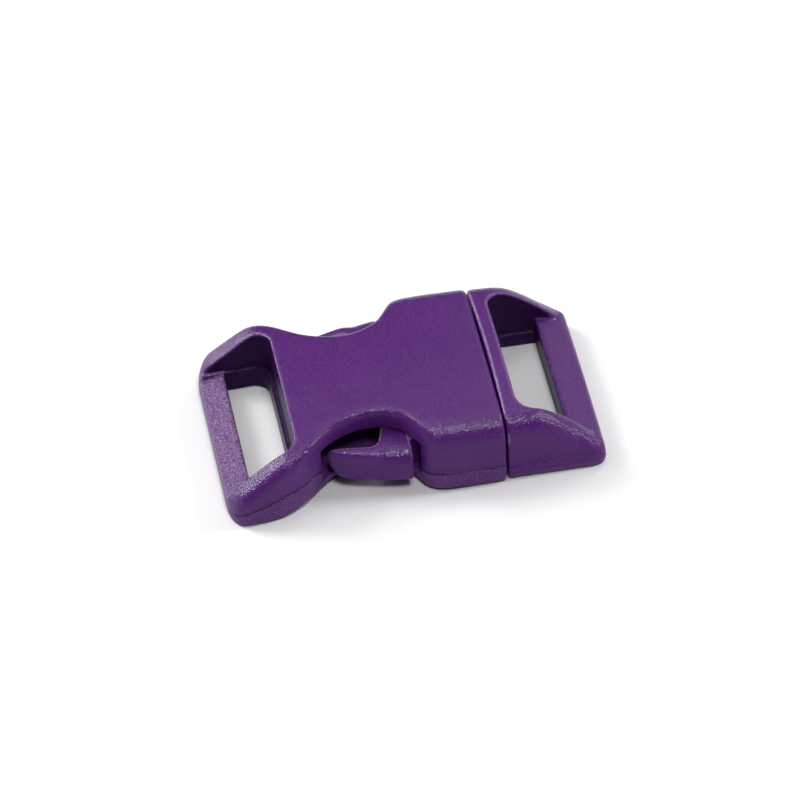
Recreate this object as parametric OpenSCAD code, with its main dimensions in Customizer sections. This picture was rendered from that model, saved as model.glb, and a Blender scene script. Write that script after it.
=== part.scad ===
// Contoured side release buckle, fastened, for a narrow webbing strap.
// X runs along the strap from the socket end to the plug end, Y across, Z up.
// Two moulded pieces: the hollow socket and the plug with its two prongs.

/* [Lengths] */
// Length of the socket, from its strap end to its mouth, mm
socket_length = 31.35; // [28:0.01:36]
// Length of the plug body, from the mouth gap to its strap end, mm
plug_length = 11.16; // [10:0.01:14]
// Open gap between the socket's mouth and the plug body, mm
mouth_gap = 0.35; // [0.25:0.01:1.2]

/* [Widths] */
// Width of the socket at its strap end, mm
end_width = 24.84; // [23.5:0.01:28]
// Width left between the two finger scallops, mm
waist_width = 13.36; // [12:0.01:15]
// Width of the socket at its shoulders and mouth, mm
shoulder_width = 24.08; // [23.5:0.01:28]
// Width of the plug body, mm
plug_width = 23.62; // [23:0.01:28]

/* [Top and underside] */
// Height of the top face at its highest, mm
top_height = 9.48; // [8.6:0.01:12]
// Radius of the long arc of the top face, mm
top_arc_radius = 131; // [90:1:300]
// How far behind the mouth the top face is highest, mm
crest_setback = 7.63; // [4:0.01:12]
// Radius of the top face across the width, mm
crown_radius = 125; // [80:1:400]
// Rise of the underside above the table at the middle, mm
underside_rise = 0.51; // [0:0.01:0.8]
// Radius of the foot where the underside turns up at each end, mm
foot_radius = 0.6; // [0.3:0.05:0.8]
// Width of the flat foot that the buckle rests on under each end, mm
foot_width = 0.9; // [0.3:0.1:2]

/* [Ramps down to the end bars] */
// Angle of the socket's ramp, degrees
socket_ramp_angle = 38.3; // [32:0.1:44]
// Height at which the socket's ramp meets the strap end, mm
socket_ramp_foot = 3.22; // [2.8:0.01:3.6]
// Angle of the plug's ramp, degrees
plug_ramp_angle = 52; // [36:0.1:54]
// Height at which the line of the plug's ramp meets the strap end, mm
plug_ramp_foot = 2; // [1.5:0.01:3.6]
// Radius of the bow in the plug's ramp, mm
plug_ramp_radius = 10.5; // [8:0.01:60]
// Size of the blend between a ramp and the long arc, mm
ramp_blend = 0.6; // [0.2:0.05:1.2]

/* [Rounded corners and edges] */
// Rounding of the socket's strap end seen from above, along X and across, mm
socket_corner = [1.9, 3.3]; // [1:0.05:4]
// Rounding of the plug's strap end seen from above, along X and across, mm
plug_corner = [1.5, 1.3]; // [1:0.05:4]
// Rounding of the socket's strap end seen from the side, along X and up, mm
socket_nose = [1.65, 1.85]; // [1:0.05:2]
// Rounding of the plug's strap end seen from the side, along X and up, mm
plug_nose = [0.45, 1.7]; // [0.2:0.05:2]
// Radius of the top edge along the plug, mm
plug_round = 2.4; // [1:0.05:3]
// Radius of the lower edge along the plug, mm
plug_low_round = 0.5; // [0.2:0.05:1]
// Height of the plug's parting line, mm
plug_parting = 2; // [1.5:0.05:3]
// How proud the lower half of the mould stands at the parting line, mm
parting_step = 0.14; // [0.05:0.01:0.3]
// Rounding of the socket's edge round its mouth, mm
mouth_round = 0.42; // [0.1:0.01:0.6]
// Small rounding of the plug's top edge where it faces the socket, mm
face_edge = 0.1; // [0.05:0.01:0.4]
// Rounding of the plug's upright edges where it faces the socket, mm
face_corner = 0.3; // [0.1:0.01:0.6]
// How far the plug's face is hollow in its middle, mm
face_hollow = 0.2; // [0:0.01:0.3]

/* [Strap slots] */
// Length of the socket's slot at its rim, mm
socket_slot_length = 19; // [16:0.05:19.5]
// Width of the socket's slot at its rim, mm
socket_slot_width = 5.25; // [4:0.05:6]
// Length of the plug's slot at its rim, mm
plug_slot_length = 18.5; // [16:0.05:19.5]
// Width of the plug's slot at its rim, mm
plug_slot_width = 5.68; // [4:0.01:6]
// Corner radius of both slots, mm
slot_corner = 2; // [1:0.1:2.5]
// Height of the ledge round the socket's slot, mm
socket_ledge = 2.95; // [2:0.05:4]
// Height of the ledge round the plug's slot, mm
plug_ledge = 1.95; // [1:0.05:4]
// How far a ledge stands in from the wall above it, mm
ledge_step = 0.3; // [0.1:0.05:0.5]

/* [End bars] */
// Width of the socket's end bar along X, mm
socket_bar_width = 3.06; // [2.5:0.01:4]
// Height of the socket's end bar at its inner edge, mm
socket_bar_height = 2.8; // [2:0.05:3]
// Width of the plug's end bar along X, mm
plug_bar_width = 3.94; // [3:0.01:4.5]
// Height of the plug's end bar at its inner edge, mm
plug_bar_height = 3.8; // [2.5:0.05:4]
// Fall of both bars' top faces towards the strap end, degrees
bar_fall = 12; // [0:0.5:20]
// Rounding of both bars' inner top edge, mm
bar_edge = 0.35; // [0.1:0.05:0.8]

/* [Socket hollow] */
// Height of the hollow's floor above the table, mm
hollow_floor = 2; // [1.6:0.05:2.5]
// Height of the hollow itself, mm
hollow_height = 4.5; // [4:0.05:5]
// Thickness of the socket's side walls at the mouth, mm
side_wall = 1.89; // [1.2:0.01:2.5]

/* [Prongs] */
// Reach of the prongs from the plug body to their noses, mm
prong_length = 19.99; // [18:0.01:22]
// Reach from the plug body to the latching faces, mm
latch_reach = 10.72; // [9:0.01:12]
// Width over the two prong heads, mm
head_spread = 22.6; // [21:0.05:23]
// Clear space between the two prong arms, mm
arm_space = 12.5; // [10:0.05:13]
// Thickness of a prong arm, mm
arm_thickness = 2.05; // [1.4:0.05:2.6]
// Fillet between a prong arm and its head, along X and across, mm
latch_fillet = [1.95, 1.1]; // [0.5:0.05:2.5]
// Flare of a prong arm at its root, mm
root_flare = 0.7; // [0.2:0.05:1]
// Length of the guide tongue, mm
tongue_length = 8.15; // [4:0.05:12]
// Width of the guide tongue, mm
tongue_width = 5.6; // [3:0.05:7]
// Chamfer at the tip of the guide tongue, mm
tongue_chamfer = 1.1; // [0.4:0.05:2]

/* [Clearances] */
// Between the prongs and the floor and ceiling of the hollow, mm
prong_clearance = 0.18; // [0.1:0.01:0.3]
// Between a latching face and the edge of its window, mm
latch_clearance = 0.43; // [0.1:0.01:0.6]
// Between the noses and the blind end of the hollow, mm
nose_clearance = 0.7; // [0.3:0.05:1.5]

/* [Hidden] */
$fn = 48;

end_x = (socket_length + mouth_gap + plug_length) / 2;
mouth_x = socket_length - end_x;
plug_x = mouth_x + mouth_gap;
crest_x = mouth_x - crest_setback;
overshoot = 1.5;

socket_bar_x = -end_x + socket_bar_width;
socket_slot_x = socket_bar_x + socket_slot_width;
plug_bar_x = end_x - plug_bar_width;
plug_slot_x = plug_bar_x - plug_slot_width;
front_wall = plug_slot_x - plug_x;

latch_x = plug_x - latch_reach;
nose_x = plug_x - prong_length;
window_x = latch_x + latch_clearance;
blind_x = nose_x - nose_clearance;
head_floor = hollow_floor + prong_clearance;
head_top = hollow_floor + hollow_height - prong_clearance;
arm_inner = arm_space / 2;
arm_outer = arm_inner + arm_thickness;

// Socket outline: place, as a share of the socket's length from its strap end;
// bulge, as a share of the way out from the waist to the full width there
socket_outline = [
  [0, 1], [0.091, 1], [0.155, 0.983], [0.203, 0.941], [0.248, 0.857], [0.283, 0.74],
  [0.314, 0.589], [0.346, 0.425], [0.378, 0.289], [0.413, 0.171], [0.456, 0.077],
  [0.496, 0.019], [0.541, 0], [0.576, 0.022], [0.608, 0.082], [0.637, 0.175],
  [0.657, 0.284], [0.678, 0.463], [0.7, 0.679], [0.712, 0.787], [0.727, 0.869],
  [0.745, 0.933], [0.771, 0.974], [0.809, 0.994], [0.893, 1], [1, 1]
];
waist_place = 0.541;
// Socket edges: place as above, then shares of the top height: parting line,
// radius of the top edge, radius of the lower edge
socket_edges = [
  [0, 0.127, 0.127, 0.063], [0.056, 0.206, 0.148, 0.063], [0.129, 0.287, 0.158, 0.063],
  [0.209, 0.388, 0.158, 0.069], [0.267, 0.401, 0.142, 0.121], [0.346, 0.374, 0.108, 0.137],
  [0.427, 0.348, 0.09, 0.137], [0.554, 0.306, 0.09, 0.137], [0.633, 0.283, 0.09, 0.132],
  [0.698, 0.269, 0.17, 0.07], [0.751, 0.299, 0.24, 0.035], [0.876, 0.3, 0.27, 0.032],
  [1, 0.274, 0.27, 0.032]
];
// Prong head: place, as a share of the head's length from its nose; inner and
// outer side, as shares of the way out from the arm's inner side to the spread;
// low and high side, as shares of the head's height
prong_head = [
  [0, 0.434, 0.465, 0.609, 0.814], [0.014, 0.418, 0.509, 0.464, 0.903],
  [0.049, 0.41, 0.552, 0.295, 0.961], [0.097, 0.414, 0.596, 0.15, 0.99],
  [0.156, 0.422, 0.644, 0.053, 1], [0.232, 0.438, 0.695, 0.005, 1],
  [0.329, 0.465, 0.75, 0, 1], [0.437, 0.497, 0.81, 0, 1], [0.512, 0.517, 0.846, 0, 1],
  [0.566, 0.505, 0.869, 0, 1], [0.604, 0.457, 0.885, 0, 1], [0.636, 0.366, 0.897, 0, 1],
  [0.661, 0.248, 0.907, 0, 1], [0.679, 0.109, 0.913, 0, 1], [0.694, 0.014, 0.919, 0, 1],
  [0.804, 0, 0.964, 0, 1], [0.911, 0, 0.996, 0, 1], [0.96, 0, 1, 0, 1],
  [0.987, 0, 0.984, 0.007, 0.995], [1, 0, 0.95, 0.024, 0.971]
];
// Where the sections stand, as shares of the length from the strap end
end_places = [0, 0.0035, 0.01, 0.02, 0.032, 0.048, 0.067];
socket_places = concat(end_places,
  [for (i = [0 : 26]) 0.09 + 0.02 * i], [for (i = [0 : 12]) 0.635 + 0.01 * i],
  [for (i = [0 : 8]) 0.775 + 0.024 * i]);
plug_places = concat([for (p = end_places) 2.2 * p],
  [for (i = [0 : 19]) 0.18 + 0.04 * i]);

// row of table t that holds place x
function span(t, x, i = 0) = (i >= len(t) - 2 || x < t[i + 1][0]) ? i : span(t, x, i + 1);
function rise(t, i, c) = (t[i + 1][c] - t[i][c]) / (t[i + 1][0] - t[i][0]);
function slope(t, i, c) =
  i == 0 ? rise(t, 0, c) :
  i == len(t) - 1 ? rise(t, i - 1, c) :
  let (h0 = t[i][0] - t[i - 1][0], h1 = t[i + 1][0] - t[i][0])
  (h1 * rise(t, i - 1, c) + h0 * rise(t, i, c)) / (h0 + h1);
// smooth curve through column c of a table
function curve(t, x, c = 1) =
  let (i = span(t, x), h = t[i + 1][0] - t[i][0], u = (x - t[i][0]) / h,
       m0 = slope(t, i, c) * h, m1 = slope(t, i + 1, c) * h)
  (2 * u * u * u - 3 * u * u + 1) * t[i][c] + (u * u * u - 2 * u * u + u) * m0
  + (-2 * u * u * u + 3 * u * u) * t[i + 1][c] + (u * u * u - u * u) * m1;
// the lower of two heights, blended over k where they cross
function lower(a, b, k) =
  let (h = max(k - abs(a - b), 0) / k) min(a, b) - h * h * k / 4;
// how far an elliptical corner cuts in at distance e from its end
function corner(e, size) =
  e >= size[0] ? 0 : size[1] * (1 - sqrt(1 - pow(1 - e / size[0], 2)));

// fall of the top face at y from its middle, held under a limit
function crown_fall(y, limit) =
  let (g = y * y / (2 * crown_radius)) g / (1 + g / limit);
function long_arc(x) = top_height - (x - crest_x) * (x - crest_x) / (2 * top_arc_radius);
function underside(x) =
  underside_rise * max(0, 1 - pow(x / (end_x - foot_radius - foot_width), 2))
  + corner(end_x - abs(x), [foot_radius, foot_radius]);
function socket_top(e) =
  lower(socket_ramp_foot + tan(socket_ramp_angle) * e, long_arc(e - end_x), ramp_blend)
  - corner(e, socket_nose);
// the rails of the plug run out level with its end bar
function plug_top(e) =
  lower(-lower(-(plug_ramp_foot + tan(plug_ramp_angle) * e - e * e / (2 * plug_ramp_radius)),
               -(plug_bar_height - tan(bar_fall) * (plug_bar_width - e)), ramp_blend),
        long_arc(end_x - e), ramp_blend)
  - corner(e, plug_nose);

// half ring of the body outline at x, from the edge of the underside to the
// middle of the top: w half width, b and t heights, q parting height, round and
// low_round the radii of the top and lower edge, held within the height there
function half_ring(x, w, b, t, q, round, low_round) =
  let (d = t - b, r = min(round, 0.42 * d), s = min(low_round, 0.24 * d),
       wt = w - parting_step, ye = wt - r, lip = parting_step / 5,
       fall = function (y) t - crown_fall(y, 0.16 * d),
       ze = fall(ye) - r, p = min(max(q, b + s + lip), ze - 2 * lip))
  concat(
    [for (a = [0, 30, 60, 90]) [x, w - s + s * sin(a), b + s - s * cos(a)]],
    [[x, w, p], [x, wt, p + lip]],
    [for (a = [0 : 15 : 90]) [x, ye + r * cos(a), ze + r * sin(a)]],
    [for (f = [0.75, 0.5, 0.25, 0]) [x, f * ye, fall(f * ye)]]);
function whole_ring(h) =
  concat(h, [for (i = [len(h) - 2 : -1 : 0]) [h[i][0], -h[i][1], h[i][2]]]);

// socket section at distance e from its strap end, drawn in all round by inset
function socket_ring(e, inset = 0) =
  let (x = e - end_x, p = e / socket_length,
       full = p < waist_place ? end_width : shoulder_width,
       w = (waist_width + curve(socket_outline, p) * (full - waist_width)) / 2
           - corner(e, socket_corner) - inset)
  whole_ring(half_ring(x, w, underside(x) + inset, socket_top(e) - inset,
                       curve(socket_edges, p, 1) * top_height,
                       curve(socket_edges, p, 2) * top_height,
                       curve(socket_edges, p, 3) * top_height));
// plug section at distance e from its strap end, drawn in all round by inset and
// at the sides by tuck, and brought towards the socket at its sides by hollow
function plug_ring(e, inset = 0, tuck = 0, hollow = 0) =
  let (x = end_x - e, b = underside(x) + inset, t = plug_top(e) - inset,
       w = plug_width / 2 - corner(e, plug_corner) - inset - tuck)
  [for (q = whole_ring(half_ring(x, w, b, t, min(plug_parting, (b + t) / 2), plug_round,
                                 plug_low_round)))
    [q[0] - hollow * min(1, pow(2.5 * q[1] / plug_width, 2)), q[1], q[2]]];

// closed skin over rings that all have the same number of points; the two end
// caps are strips from side to side
module skin(rings) {
  n = len(rings[0]);
  m = len(rings);
  half = floor((n - 1) / 2);
  pts = [for (r = rings) for (p = r) p];
  sides = [for (i = [0 : m - 2]) for (j = [0 : n - 1])
    let (a = i * n + j, b = i * n + (j + 1) % n, c = a + n, d = b + n)
    each [[a, d, b], [a, c, d]]];
  first = [for (j = [0 : half - 1]) let (c = n - 2 - j, d = n - 1 - j)
    each concat([[j, j + 1, d]], c > j + 1 ? [[j + 1, c, d]] : [])];
  last = [for (f = first) [for (k = [2, 1, 0]) f[k] + (m - 1) * n]];
  polyhedron(points = pts, faces = concat(sides, first, last), convexity = 8);
}

module socket_body() {
  skin(concat(
    [for (p = socket_places) socket_ring(p * socket_length)],
    [for (a = [0 : 22.5 : 90])
      socket_ring(socket_length - mouth_round * (1 - sin(a)), mouth_round * (1 - cos(a)))]));
}
module plug_body() {
  n = len(plug_places);
  skin(concat(
    [plug_ring(plug_length, face_edge * 0.7, face_corner, face_hollow),
     plug_ring(plug_length - face_edge, 0, face_corner * 0.45, face_hollow)],
    [for (a = [60, 30, 0])
      plug_ring(plug_length - face_edge - face_corner * (1 - sin(a)), 0,
                face_corner * 0.45 * (1 - cos(a)), face_hollow * (0.6 + 0.4 * sin(a)))],
    [for (i = [n - 1 : -1 : 0]) plug_ring(plug_places[i] * plug_length)]));
}

// plan of a strap slot from its body side at x, open past the strap end
module slot_plan(x, side, length, r) {
  far = end_x + overshoot - side * x;
  translate([x, 0]) scale([side, 1]) {
    translate([r, -length / 2]) square([far - r, length]);
    translate([0, -length / 2 + r]) square([2 * r, length - 2 * r]);
    for (y = [-1, 1]) translate([r, y * (length / 2 - r)]) circle(r = r);
  }
}
// room that a strap slot takes from a body: wide above its ledge, narrower below
module slot_room(x, side, length, ledge, back_step) {
  translate([0, 0, ledge]) linear_extrude(top_height)
    slot_plan(x, side, length, slot_corner);
  translate([0, 0, -overshoot]) linear_extrude(ledge + 2 * overshoot)
    slot_plan(x + side * back_step, side, length - 2 * ledge_step, slot_corner - ledge_step);
}
// end bar across a slot, its top face falling towards the strap end
module end_bar(side, width, height, length) {
  slant = tan(bar_fall);
  translate([0, length / 2 + overshoot, 0]) rotate([90, 0, 0])
    linear_extrude(length + 2 * overshoot)
      polygon([for (p = concat(
        [[-overshoot, -overshoot], [-overshoot, height - slant * (width + overshoot)]],
        [for (a = [90 : -22.5 : 0])
          [width - bar_edge * (1 - cos(a)), height - bar_edge * (1 - sin(a))
            - slant * bar_edge * (1 - cos(a))]],
        [[width, -overshoot]]))
        [side * (end_x - p[0]), p[1]]]);
}

module socket() {
  color([0.36, 0.2, 0.48])
  difference() {
    socket_body();
    difference() {
      slot_room(socket_slot_x, -1, socket_slot_length, socket_ledge, 1.5 * ledge_step);
      end_bar(-1, socket_bar_width, socket_bar_height, socket_slot_length);
    }
    // hollow for the plug, open at the mouth and at both finger scallops
    translate([0, 0, hollow_floor]) linear_extrude(hollow_height) {
      translate([blind_x, -shoulder_width / 2 + side_wall])
        square([mouth_x + overshoot - blind_x, shoulder_width - 2 * side_wall]);
      translate([blind_x, -shoulder_width / 2 - overshoot])
        square([window_x - blind_x, shoulder_width + 2 * overshoot]);
    }
  }
}

module prong() {
  reach = head_spread / 2 - arm_inner;
  head = head_top - head_floor;
  bevel = 0.28;
  round_top = 1.6;
  // head with a curved nose and a square latching face
  skin([for (h = prong_head)
    let (x = nose_x + h[0] * (latch_x - nose_x),
         a = arm_inner + h[1] * reach, b = arm_inner + h[2] * reach,
         f = head_floor + h[3] * head, t = head_floor + h[4] * head,
         k = min(bevel, 0.3 * (b - a)), q = min(round_top, 0.45 * (b - a), 0.4 * (t - f)))
    concat(
      [[x, a + k, f], [x, b - k, f], [x, b, f + k]],
      [for (g = [0, 22.5, 45, 67.5, 90]) [x, b - q + q * cos(g), t - q + q * sin(g)]],
      [[x, a + k, t], [x, a, t - k], [x, a, f + k]])]);
  // springy arm back to the plug body, sunk into both
  head_grip = 1.2;
  inset = 0.15;
  sink = front_wall / 2;
  translate([0, 0, head_floor + inset]) linear_extrude(head - 2 * inset)
    polygon(concat(
      [[latch_x - head_grip, arm_inner + inset], [latch_x - head_grip, arm_outer + latch_fillet[1]]],
      [for (a = [0 : 15 : 90])
        [latch_x - inset + latch_fillet[0] * (1 - cos(a)), arm_outer + latch_fillet[1] * (1 - sin(a))]],
      [for (a = [0 : 22.5 : 90])
        [plug_x - 2 * root_flare * (1 - sin(a)), arm_outer + root_flare * (1 - cos(a))]],
      [[plug_x + sink, arm_outer + root_flare], [plug_x + sink, arm_inner - root_flare]],
      [for (a = [90 : -22.5 : 0])
        [plug_x - 2 * root_flare * (1 - sin(a)), arm_inner - root_flare * (1 - cos(a))]]));
}

module tongue() {
  inset = 0.12;
  sink = front_wall / 2;
  tip = plug_x - tongue_length;
  half = tongue_width / 2;
  translate([0, 0, head_floor + inset]) linear_extrude(head_top - head_floor - 2 * inset)
    polygon([[plug_x + sink, -half], [tip + tongue_chamfer, -half], [tip, tongue_chamfer - half],
             [tip, half - tongue_chamfer], [tip + tongue_chamfer, half], [plug_x + sink, half]]);
}

module plug() {
  color([0.36, 0.2, 0.48])
  union() {
    difference() {
      plug_body();
      difference() {
        slot_room(plug_slot_x, 1, plug_slot_length, plug_ledge, ledge_step);
        end_bar(1, plug_bar_width, plug_bar_height, plug_slot_length);
      }
    }
    prong();
    mirror([0, 1, 0]) prong();
    tongue();
  }
}

socket();
plug();
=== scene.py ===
# Fastened side release buckle in purple moulded plastic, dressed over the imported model.
from math import cos, pi, radians, sin, tan
import bpy
import bmesh
import numpy as np
from mathutils import Matrix, Vector
from mathutils.kdtree import KDTree


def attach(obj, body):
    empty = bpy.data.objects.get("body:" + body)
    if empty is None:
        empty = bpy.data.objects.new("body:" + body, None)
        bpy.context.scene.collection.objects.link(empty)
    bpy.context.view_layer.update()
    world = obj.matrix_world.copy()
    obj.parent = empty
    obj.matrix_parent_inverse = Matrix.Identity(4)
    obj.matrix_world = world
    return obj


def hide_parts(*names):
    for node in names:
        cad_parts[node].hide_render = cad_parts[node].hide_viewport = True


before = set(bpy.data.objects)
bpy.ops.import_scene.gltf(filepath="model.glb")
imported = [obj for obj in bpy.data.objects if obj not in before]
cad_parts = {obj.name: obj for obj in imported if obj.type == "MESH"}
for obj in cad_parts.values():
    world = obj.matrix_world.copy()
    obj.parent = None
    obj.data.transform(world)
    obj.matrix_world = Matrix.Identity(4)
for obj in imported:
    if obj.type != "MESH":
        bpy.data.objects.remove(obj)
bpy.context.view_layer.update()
scene = bpy.context.scene
millimetre = 0.001  # in metres

# Camera: long lens, in front and a little to the left, looking down at 45 degrees
cameraView = {
    "azimuth": 9.13,  # degrees to the left of the front
    "elevation": 45.153,
    "roll": -2.661,
    "distance": 565.8,  # mm
    "lens": 226.9,
    "sensor": 36,
    "nearest": 0.01,  # metres
    "aim": (-0.07, 0.0, 4.0),  # mm
    "offAim": (-0.201, 0.288),  # mm to the right of and above the middle of the picture
}


def addCamera(view):
    azimuth, elevation, roll = (radians(view[k]) for k in ("azimuth", "elevation", "roll"))
    ahead = Vector((sin(azimuth) * cos(elevation), cos(azimuth) * cos(elevation), -sin(elevation)))
    level = Vector((cos(azimuth), -sin(azimuth), 0))
    upright = level.cross(ahead)
    right = level * cos(roll) + upright * sin(roll)
    up = upright * cos(roll) - level * sin(roll)
    aside, above = view["offAim"]
    place = Vector(view["aim"]) - aside * right - above * up - view["distance"] * ahead
    turned = Matrix((right, up, -ahead)).transposed().to_4x4()
    data = bpy.data.cameras.new("camera")
    data.lens = view["lens"]
    data.sensor_width = view["sensor"]
    data.clip_start = view["nearest"]
    camera = bpy.data.objects.new("camera", data)
    camera.matrix_world = Matrix.Translation(place * millimetre) @ turned
    scene.collection.objects.link(camera)
    scene.camera = camera


addCamera(cameraView)
print("camera placed")


# Node helpers
def setInput(tree, socket, value):
    if isinstance(value, bpy.types.NodeSocket):
        tree.links.new(value, socket)
    else:
        socket.default_value = value


def addNode(tree, kind, inputs=None, **settings):
    node = tree.nodes.new(kind)
    for key, value in settings.items():
        setattr(node, key, value)
    for key, value in (inputs or {}).items():
        setInput(tree, node.inputs[key], value)
    return node


def addMath(tree, operation, *values, clamp=False):
    inputs = dict(enumerate(values))
    return addNode(tree, "ShaderNodeMath", inputs, operation=operation, use_clamp=clamp).outputs[0]


def addRange(tree, value, low, high, fromZero=0.0, toOne=1.0, smooth=True):
    kind = "SMOOTHSTEP" if smooth else "LINEAR"
    inputs = {0: value, 1: low, 2: high, 3: fromZero, 4: toOne}
    return addNode(tree, "ShaderNodeMapRange", inputs, interpolation_type=kind).outputs[0]


def addBlend(tree, share, first, second):
    inputs = {0: share, 6: first, 7: second}
    return addNode(tree, "ShaderNodeMix", inputs, data_type="RGBA").outputs[2]


# Purple moulded plastic with a fine spark-eroded grain
plasticLook = {
    "purple": (0.079, 0.0126, 0.146, 1),
    "deepPurple": (0.073, 0.011, 0.139, 1),
    "lilac": (0.3, 0.18, 0.38, 1),  # painted highlights on edges and rims, painted sparkle on the socket's bar, and the lighter coarse grain of the low bands
    "lineColour": (0.018, 0.004, 0.035, 1),
    "deepShade": (0.012, 0.003, 0.025, 1),  # painted shade on the walls inside the strap slots
    "deepShare": 0.8,
    "cloud": (6.0, 3.0, 0.55),  # slow change of shade: size in mm, detail, roughness of the noise
    "fine": (0.17, 1.0, 0.5),
    "coarse": (0.2, 3.0, 0.6),
    "shadeRange": (0.35, 0.65),  # part of the noise that shows
    "speckleRange": (0.45, 0.6),
    "fineDepth": 0.072,  # mm
    "coarseDepth": 0.16,
    "lowGrain": 0.5,  # share of the coarse grain's depth on the low bands
    "lineDepth": 0.05,
    "barSparkle": (0.15, 0.85),  # share of lilac painted sparkle on the socket's bar: least, and added by the grain
    "lowLilac": (0.0, 0.22),
    # share of lilac painted highlight on edges and rims: least, and added by the grain
    "edgeLilac": (0.25, 0.6),
    "roughness": 0.16,
    "fineRough": 0.12,  # from the lowest to the highest grain
    "coarseRough": 0.08,  # added on the bar and the low bands
    "sideRough": 0.14,  # added on upright walls
    "specular": 0.56,
    "sideSpecular": 0.35,  # share of the specular left on upright walls
    "slotSpecular": 0.3,  # share of it left inside the strap slots
    "refraction": 1.48,
}


def makePlastic(name, look):
    material = bpy.data.materials.new(name)
    material.use_nodes = True
    tree = material.node_tree
    tree.nodes.clear()
    place = addNode(tree, "ShaderNodeTexCoord").outputs["Object"]

    def noise(size, detail, rough):
        inputs = {"Vector": place, "Scale": 1 / (size * millimetre), "Detail": detail, "Roughness": rough}
        return addNode(tree, "ShaderNodeTexNoise", inputs).outputs["Fac"]

    def mark(attribute):
        return addNode(tree, "ShaderNodeAttribute", attribute_name=attribute).outputs["Fac"]

    def times(*values):
        return addMath(tree, "MULTIPLY", *values)

    def plus(*values, clamp=False):
        return addMath(tree, "ADD", *values, clamp=clamp)

    def minus(*values):
        return addMath(tree, "SUBTRACT", *values)

    # blends towards lilac where marked: painted highlight on edges and rims, painted sparkle on the
    # socket's bar, lighter coarse grain on the low bands
    def blendLilac(colour, where, amount, pattern):
        share = times(where, plus(amount[0], times(pattern, amount[1])))
        return addBlend(tree, share, colour, look["lilac"])

    fine, coarse, cloud = noise(*look["fine"]), noise(*look["coarse"]), noise(*look["cloud"])
    bar, paintedHighlight, low, line = mark("coarseGrainAndSparkle"), mark("edgeHighlight"), mark("lowBand"), mark("partingLine")
    wall, deep = mark("uprightWall"), mark("slotShade")

    shade = addRange(tree, cloud, *look["shadeRange"])
    colour = addBlend(tree, shade, look["deepPurple"], look["purple"])
    speckle = addRange(tree, coarse, *look["speckleRange"])
    # painted sparkle over the real coarse grain of the socket's bar
    colour = blendLilac(colour, bar, look["barSparkle"], speckle)
    colour = blendLilac(colour, low, look["lowLilac"], speckle)
    # painted highlight along crisp edges and the rims of the strap slots
    colour = blendLilac(colour, paintedHighlight, look["edgeLilac"], addRange(tree, fine, *look["shadeRange"]))
    colour = addBlend(tree, line, colour, look["lineColour"])
    # painted shade on the walls and ledges inside the strap slots
    colour = addBlend(tree, times(deep, look["deepShare"]), colour, look["deepShade"])

    rough = plus(look["roughness"], times(minus(fine, 0.5), look["fineRough"]))
    rough = plus(rough, times(plus(bar, low, clamp=True), look["coarseRough"]))
    rough = plus(rough, times(wall, look["sideRough"]))
    shine = addRange(tree, wall, 0, 1, look["specular"], look["specular"] * look["sideSpecular"], False)
    shine = times(shine, addRange(tree, deep, 0, 1, 1.0, look["slotSpecular"], False))

    depth = times(fine, look["fineDepth"] * millimetre)
    coarser = times(addMath(tree, "MAXIMUM", bar, times(low, look["lowGrain"])), coarse)
    depth = plus(depth, times(coarser, look["coarseDepth"] * millimetre))
    depth = minus(depth, times(line, look["lineDepth"] * millimetre))
    bump = addNode(tree, "ShaderNodeBump", {"Height": depth, "Strength": 1.0, "Distance": 1.0})

    surface = addNode(tree, "ShaderNodeBsdfPrincipled", {
        "Base Color": colour,
        "Roughness": rough,
        "Normal": bump.outputs[0],
        "IOR": look["refraction"],
        "Specular IOR Level": shine,
    })
    addNode(tree, "ShaderNodeOutputMaterial", {0: surface.outputs[0]})
    return material


purplePlastic = makePlastic("purplePlastic", plasticLook)
print("plastic mixed")

# The two mouldings, both in mm until they are finished
moulding = {
    "endX": 21.43,  # from the middle to either strap end
    "weld": 0.002,
    "voxel": 0.09,
    "facetAngle": 33,  # degrees, sharper edges stay crisp
    "edgeStep": 0.1,  # between the places that are kept along an edge
    "weightLevels": 20,
    "edgePasses": 3,  # smoothing of every edge
    "flatPasses": 40,  # smoothing away from crisp edges
    "crispReach": (0.25, 0.8),  # from no to full smoothing, from a crisp edge
    "besideSlot": (-0.4, 0.8),  # along a rail, from the slot's wall on the body's side
    "acrossRail": (0.35, 1.15),  # from a rail's inner rim, as a share of its reach
    "rimInset": 0.1,
    "underRail": (0.9, 1.5),  # below the rail's top
    "thinning": (0.15, 0.85),  # weight beside an edge, and added away from it
    "keepReach": (0.25, 0.5),  # mesh that is thinned least, beside an edge or a line
    "triangles": 190000,
}
socketForm = {
    "node": "socket",
    "slot": (-18.37, -13.12, 9.5),  # bar side, body side, half length
    "rail": (3.22, 38.3, 9.4, 0.0),  # foot height, degrees, most height, bend
    "ledge": 2.95,
    "rimReach": 1.0,
    "rimPasses": 60,  # smoothing of the rails' inner rims
    "length": 31.35,
    "partingPlaces": (  # share of the length
        0, 0.056, 0.129, 0.209, 0.267, 0.346, 0.427, 0.554, 0.633, 0.698, 0.751, 0.876, 1),
    "partingHeights": (  # share of the height
        0.127, 0.206, 0.287, 0.388, 0.401, 0.374, 0.348, 0.306, 0.283, 0.269, 0.299, 0.3, 0.274),
    "topHeight": 9.48,
}
plugForm = {
    "node": "plug",
    "slot": (17.49, 11.81, 9.25),
    "rail": (2.0, 52, 9.1, 0.0476),
    "ledge": 1.95,
    "rimReach": 1.1,
    "rimPasses": 80,
    "head": (-1.5, 8.2, 3.0),  # rounded further behind this x, outside this y and above this z
    "headSoft": (0.5, 0.3, 0.5),
    "headPasses": 60,
    "body": 10.05,  # from here to the strap end
    "lowBandHeight": 1.2,
}


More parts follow.
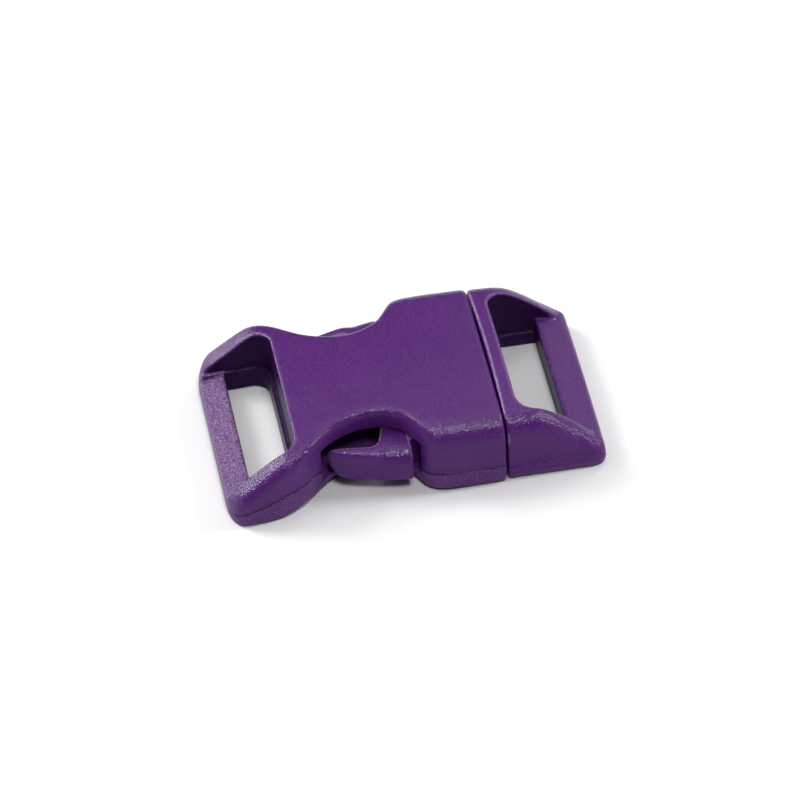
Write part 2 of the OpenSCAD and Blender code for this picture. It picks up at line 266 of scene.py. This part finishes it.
def points(mesh):
    co = np.empty(len(mesh.vertices) * 3, np.float32)
    mesh.vertices.foreach_get("co", co)
    return co.reshape(-1, 3)


def rise(low, high, value):
    # smoothly from 0 at low to 1 at high
    t = np.clip((value - low) / (high - low), 0, 1)
    return t * t * (3 - 2 * t)


def fall(low, high, value):
    return 1 - rise(low, high, value)


def applyAll(piece):
    scene.view_layers[0].update()
    seen = piece.evaluated_get(bpy.context.evaluated_depsgraph_get())
    mesh = bpy.data.meshes.new_from_object(seen)
    old = piece.data
    piece.modifiers.clear()
    piece.data = mesh
    piece.vertex_groups.clear()
    bpy.data.meshes.remove(old)


def setWeights(piece, weights):
    group = piece.vertex_groups.new(name="weights")
    most = moulding["weightLevels"]
    levels = np.round(np.clip(weights, 0, 1) * most).astype(int)
    for level in range(most + 1):
        chosen = np.nonzero(levels == level)[0].tolist()
        if chosen:
            group.add(chosen, level / most, "REPLACE")
    return group.name


def relax(piece, weights, passes):
    smooth = piece.modifiers.new("relax", "SMOOTH")
    smooth.iterations = passes
    smooth.vertex_group = setWeights(piece, weights)
    applyAll(piece)


def edgePoints(bm, outerOnly):
    # places along the crisp edges of the solid
    found = []
    for edge in bm.edges:
        crisp = len(edge.link_faces) == 2 and edge.calc_face_angle(0) > radians(moulding["facetAngle"])
        if crisp and (edge.is_convex or not outerOnly):
            a, b = (v.co for v in edge.verts)
            count = max(1, int((b - a).length / moulding["edgeStep"]))
            found += [a.lerp(b, i / count) for i in range(count + 1)]
    return found


def distanceTo(places, co):
    tree = KDTree(len(places))
    for i, p in enumerate(places):
        tree.insert(p, i)
    tree.balance()
    return np.array([tree.find(p)[2] for p in co], np.float32)


def railRim(form, co):
    # 1 on the inner rims of the two rails beside a strap slot
    x, y, z = co.T
    body, half = form["slot"][1:]
    foot, angle, most, bend = form["rail"]
    fromEnd = moulding["endX"] - abs(x)
    top = np.minimum(foot + tan(radians(angle)) * fromEnd - bend * fromEnd * fromEnd, most)
    beside = rise(*moulding["besideSlot"], np.sign(body) * (x - body))
    near, far = (share * form["rimReach"] for share in moulding["acrossRail"])
    across = fall(near, far, abs(abs(y) - half + moulding["rimInset"]))
    return beside * across * fall(*moulding["underRail"], top - z)


def latchHead(form, co):
    # 1 on the outer top of the two latching heads
    x, y, z = co.T
    hx, hy, hz = form["head"]
    sx, sy, sz = form["headSoft"]
    return fall(hx - sx, hx + sx, x) * rise(hy - sy, hy + sy, abs(y)) * rise(hz - sz, hz + sz, z)


def partingOver(form, co):
    # height over the socket's parting line
    share = (co[:, 0] + moulding["endX"]) / form["length"]
    return co[:, 2] - np.interp(share, form["partingPlaces"], form["partingHeights"]) * form["topHeight"]


def weldCopy(form):
    # the solid's own mesh in mm, with places along all its crisp edges and along the outer ones
    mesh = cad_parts[form["node"]].data.copy()
    mesh.materials.clear()
    mesh.transform(Matrix.Scale(1 / millimetre, 4))
    bm = bmesh.new()
    bm.from_mesh(mesh)
    bmesh.ops.remove_doubles(bm, verts=bm.verts, dist=moulding["weld"])
    bmesh.ops.recalc_face_normals(bm, faces=bm.faces)
    crisp, outer = edgePoints(bm, False), edgePoints(bm, True)
    bm.to_mesh(mesh)
    bm.free()
    return mesh, crisp, outer


def thinOut(piece, form, crisp):
    co = points(piece.data)
    keep = fall(*moulding["keepReach"], distanceTo(crisp, co))
    if "partingPlaces" in form:
        keep = np.maximum(keep, fall(*moulding["keepReach"], abs(partingOver(form, co))))
    least, added = moulding["thinning"]
    thin = piece.modifiers.new("thin", "DECIMATE")
    thin.ratio = moulding["triangles"] / (2 * len(piece.data.polygons))
    thin.vertex_group = setWeights(piece, least + added * (1 - keep))
    applyAll(piece)


def mouldPiece(name, form):
    mesh, crisp, outer = weldCopy(form)
    piece = bpy.data.objects.new(name, mesh)
    scene.collection.objects.link(piece)
    remesh = piece.modifiers.new("remesh", "REMESH")
    remesh.mode = "VOXEL"
    remesh.voxel_size = moulding["voxel"] * 1
    applyAll(piece)

    far = distanceTo(crisp, points(piece.data))
    relax(piece, np.ones(len(far)), moulding["edgePasses"])
    relax(piece, rise(*moulding["crispReach"], far), moulding["flatPasses"])
    relax(piece, railRim(form, points(piece.data)), form["rimPasses"])
    if "head" in form:
        relax(piece, latchHead(form, points(piece.data)), form["headPasses"])
    print(name, "smoothed,", len(piece.data.polygons), "faces")

    if len(piece.data.polygons) * 2 > moulding["triangles"]:
        thinOut(piece, form, crisp)
    markMoulding(piece, form, distanceTo(outer, points(piece.data)))
    return piece


# Where the plastic changes and where highlight and shade are painted, in mm, or as a share of the normal
# where it says facing
marking = {
    "slotSide": (-0.5, -0.2),  # from the slot's wall on the body's side
    "slotEnd": (0.2, 0.5),  # from the slot's ends
    "sideFacing": (0.3, 0.65),
    "wallFacing": (0.1, 0.4),
    "barSide": (0.2, 0.5),  # from the bar's inner wall
    "barTop": 3,
    "ledge": (0.1, 0.25),  # short of the bar's inner wall, and above the ledge
    "rimHighlight": (0.15, 0.5),  # from the rim of a strap slot
    "rimHeight": (4, 5.5),
    "rimFacing": (0.2, 0.5),
    "rimShare": 0.5,
}
socketMarking = {
    "lineFacing": (0.35, 0.7),
    "lineStart": (0.0, 1.5),  # from the strap end
    "lineReach": (0.03, 0.13),
    "lineLift": 0.05,
    "lineShare": 0.85,
    "lowEdge": (-0.1, 0.05),  # from the parting line
    "grainEdge": (-0.15, 0.1),  # from the bar's inner wall
    "grainFacing": (0.15, 0.5),
    "grainTop": (2.95, 3.15),
    "grainEnd": (9.3, 9.9),
}
plugMarking = {
    "highlightReach": (0.07, 0.2),  # from a crisp outer edge
    "highlightHeight": (5, 6),
    "highlightEnd": (10.7, 11),
    "bodySoft": 0.15,
    "lowSoft": 0.1,
}


def markSocket(form, co, facing, inside):
    x, y, z = co.T
    bar = form["slot"][0]
    look = socketMarking
    over = partingOver(form, co)
    side = rise(*look["lineFacing"], np.hypot(facing[0], facing[1]))
    side = side * rise(*look["lineStart"], x + moulding["endX"])
    near, far = look["grainEdge"]
    onBar = fall(bar + near, bar + far, x) * rise(*look["grainFacing"], facing[2])
    return {
        "partingLine": side * fall(*look["lineReach"], abs(over - look["lineLift"])) * look["lineShare"],
        "lowBand": fall(*look["lowEdge"], over) * (1 - inside),
        # coarse grain on the socket's bar, which also carries painted sparkle
        "coarseGrainAndSparkle": onBar * fall(*look["grainTop"], z) * fall(*look["grainEnd"], abs(y)),
    }


def markPlug(form, co, rim, fromEdge):
    x, y, z = co.T
    look = plugMarking
    body, soft, low = form["body"], look["bodySoft"], form["lowBandHeight"]
    # painted highlight along crisp outer edges high on the plug, joined to the slot rims
    paintedHighlight = fall(*look["highlightReach"], fromEdge) * rise(*look["highlightHeight"], z) * fall(*look["highlightEnd"], x)
    return {
        "partingLine": 0 * x,
        "coarseGrainAndSparkle": 0 * x,
        "edgeHighlight": np.maximum(rim, paintedHighlight),
        "lowBand": rise(body - soft, body + soft, x) * fall(low - look["lowSoft"], low, z),
    }


def markMoulding(piece, form, fromEdge):
    co = points(piece.data)
    x, y, z = co.T
    normals = np.empty(len(co) * 3, np.float32)
    piece.data.vertex_normals.foreach_get("vector", normals)
    facing = normals.reshape(-1, 3).T
    bar, body, half = form["slot"]
    along = np.sign(body) * x
    inside = rise(*marking["slotSide"], along - abs(body)) * fall(*marking["slotEnd"], abs(y) - half)
    onBar = rise(*marking["barSide"], along - abs(bar)) * (z < marking["barTop"])
    short, above = marking["ledge"]
    ledge = (along < abs(bar) - short) * (z < form["ledge"] + above)
    # painted highlight along the rims of the strap slots
    rim = marking["rimShare"] * inside * fall(*marking["rimHighlight"], fromEdge)
    rim = rim * rise(*marking["rimHeight"], z) * rise(*marking["rimFacing"], facing[2])
    marks = {
        "uprightWall": fall(*marking["sideFacing"], facing[2]),
        # paints shade on the walls and ledge tops inside the strap slots, and lowers their specular
        "slotShade": inside * np.maximum(fall(*marking["wallFacing"], abs(facing[2])) * (1 - onBar), ledge),
        "edgeHighlight": rim,
    }
    if form["node"] == "socket":
        marks.update(markSocket(form, co, facing, inside))
    else:
        marks.update(markPlug(form, co, rim, fromEdge))
    for name, values in marks.items():
        attribute = piece.data.attributes.new(name, "FLOAT", "POINT")
        attribute.data.foreach_set("value", np.asarray(values, np.float32))


def finishPiece(piece, form, material):
    piece.data.transform(Matrix.Scale(millimetre, 4))
    piece.data.materials.clear()
    piece.data.materials.append(material)
    for polygon in piece.data.polygons:
        polygon.use_smooth = True
    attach(piece, "root")
    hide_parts(form["node"])
    print(piece.name, "finished,", len(piece.data.polygons), "faces")


for name, form in (("socketMoulding", socketForm), ("plugMoulding", plugForm)):
    finishPiece(mouldPiece(name, form), form, purplePlastic)

# Floor and light: lean in degrees behind straight overhead, side in degrees to the right, size in metres
studio = {
    "floorWhite": 0.9,
    "floorRough": 0.8,
    "floorSpecular": 0.1,
    "floorReach": 2.0,
    "sky": 0.13,
    "skyEdge": (-0.82, -0.5),  # from dark to full sky, along Y
    "distance": 0.7,
    "softboxes": {
        "overhead": {"lean": 15, "side": -6, "size": (1.1, 0.3), "brightness": 1.55},
        "strip": {"lean": -29, "side": 2, "size": (0.16, 0.12), "brightness": 30.0},
        "backLeft": {"lean": 31, "side": -40, "size": (0.24, 0.24), "brightness": 12.5},
        "lowLeft": {"lean": 62, "side": -42, "size": (0.2, 0.16), "brightness": 13.0},
        "backRight": {"lean": 58, "side": 34, "size": (0.24, 0.2), "brightness": 1.8},
        "right": {"lean": -6, "side": 56, "size": (0.12, 0.12), "brightness": 40.0},
    },
}


def addFloor(look):
    bm = bmesh.new()
    bmesh.ops.create_grid(bm, x_segments=1, y_segments=1, size=look["floorReach"])
    mesh = bpy.data.meshes.new("floor")
    bm.to_mesh(mesh)
    bm.free()
    floor = bpy.data.objects.new("floor", mesh)
    scene.collection.objects.link(floor)
    material = bpy.data.materials.new("whitePaper")
    material.use_nodes = True
    surface = material.node_tree.nodes["Principled BSDF"]
    surface.inputs["Base Color"].default_value = (look["floorWhite"],) * 3 + (1,)
    surface.inputs["Roughness"].default_value = look["floorRough"]
    surface.inputs["Specular IOR Level"].default_value = look["floorSpecular"]
    mesh.materials.append(material)


def addSky(look):
    # an even tent, dark low down in front
    world = bpy.data.worlds.new("studio")
    world.use_nodes = True
    tree = world.node_tree
    toward = addNode(tree, "ShaderNodeTexCoord").outputs["Generated"]
    across = addNode(tree, "ShaderNodeSeparateXYZ", {0: toward}).outputs[1]
    back = tree.nodes["Background"]
    setInput(tree, back.inputs["Color"], (1, 1, 1, 1))
    setInput(tree, back.inputs["Strength"], addRange(tree, across, *look["skyEdge"], 0.0, look["sky"]))
    scene.world = world


def addSoftbox(name, light, distance):
    lean, side = radians(light["lean"]), radians(light["side"])
    toward = Vector((sin(side), cos(side) * sin(lean), cos(side) * cos(lean)))
    data = bpy.data.lights.new(name, "AREA")
    data.shape = "RECTANGLE"
    data.size, data.size_y = light["size"]
    data.energy = pi * data.size * data.size_y * light["brightness"]
    lamp = bpy.data.objects.new(name, data)
    lamp.location = toward * distance
    lamp.rotation_euler = toward.to_track_quat("Z", "Y").to_euler()
    scene.collection.objects.link(lamp)


addFloor(studio)
addSky(studio)
for name, light in studio["softboxes"].items():
    addSoftbox(name, light, studio["distance"])
scene.view_settings.view_transform = "Standard"
print("studio lit")
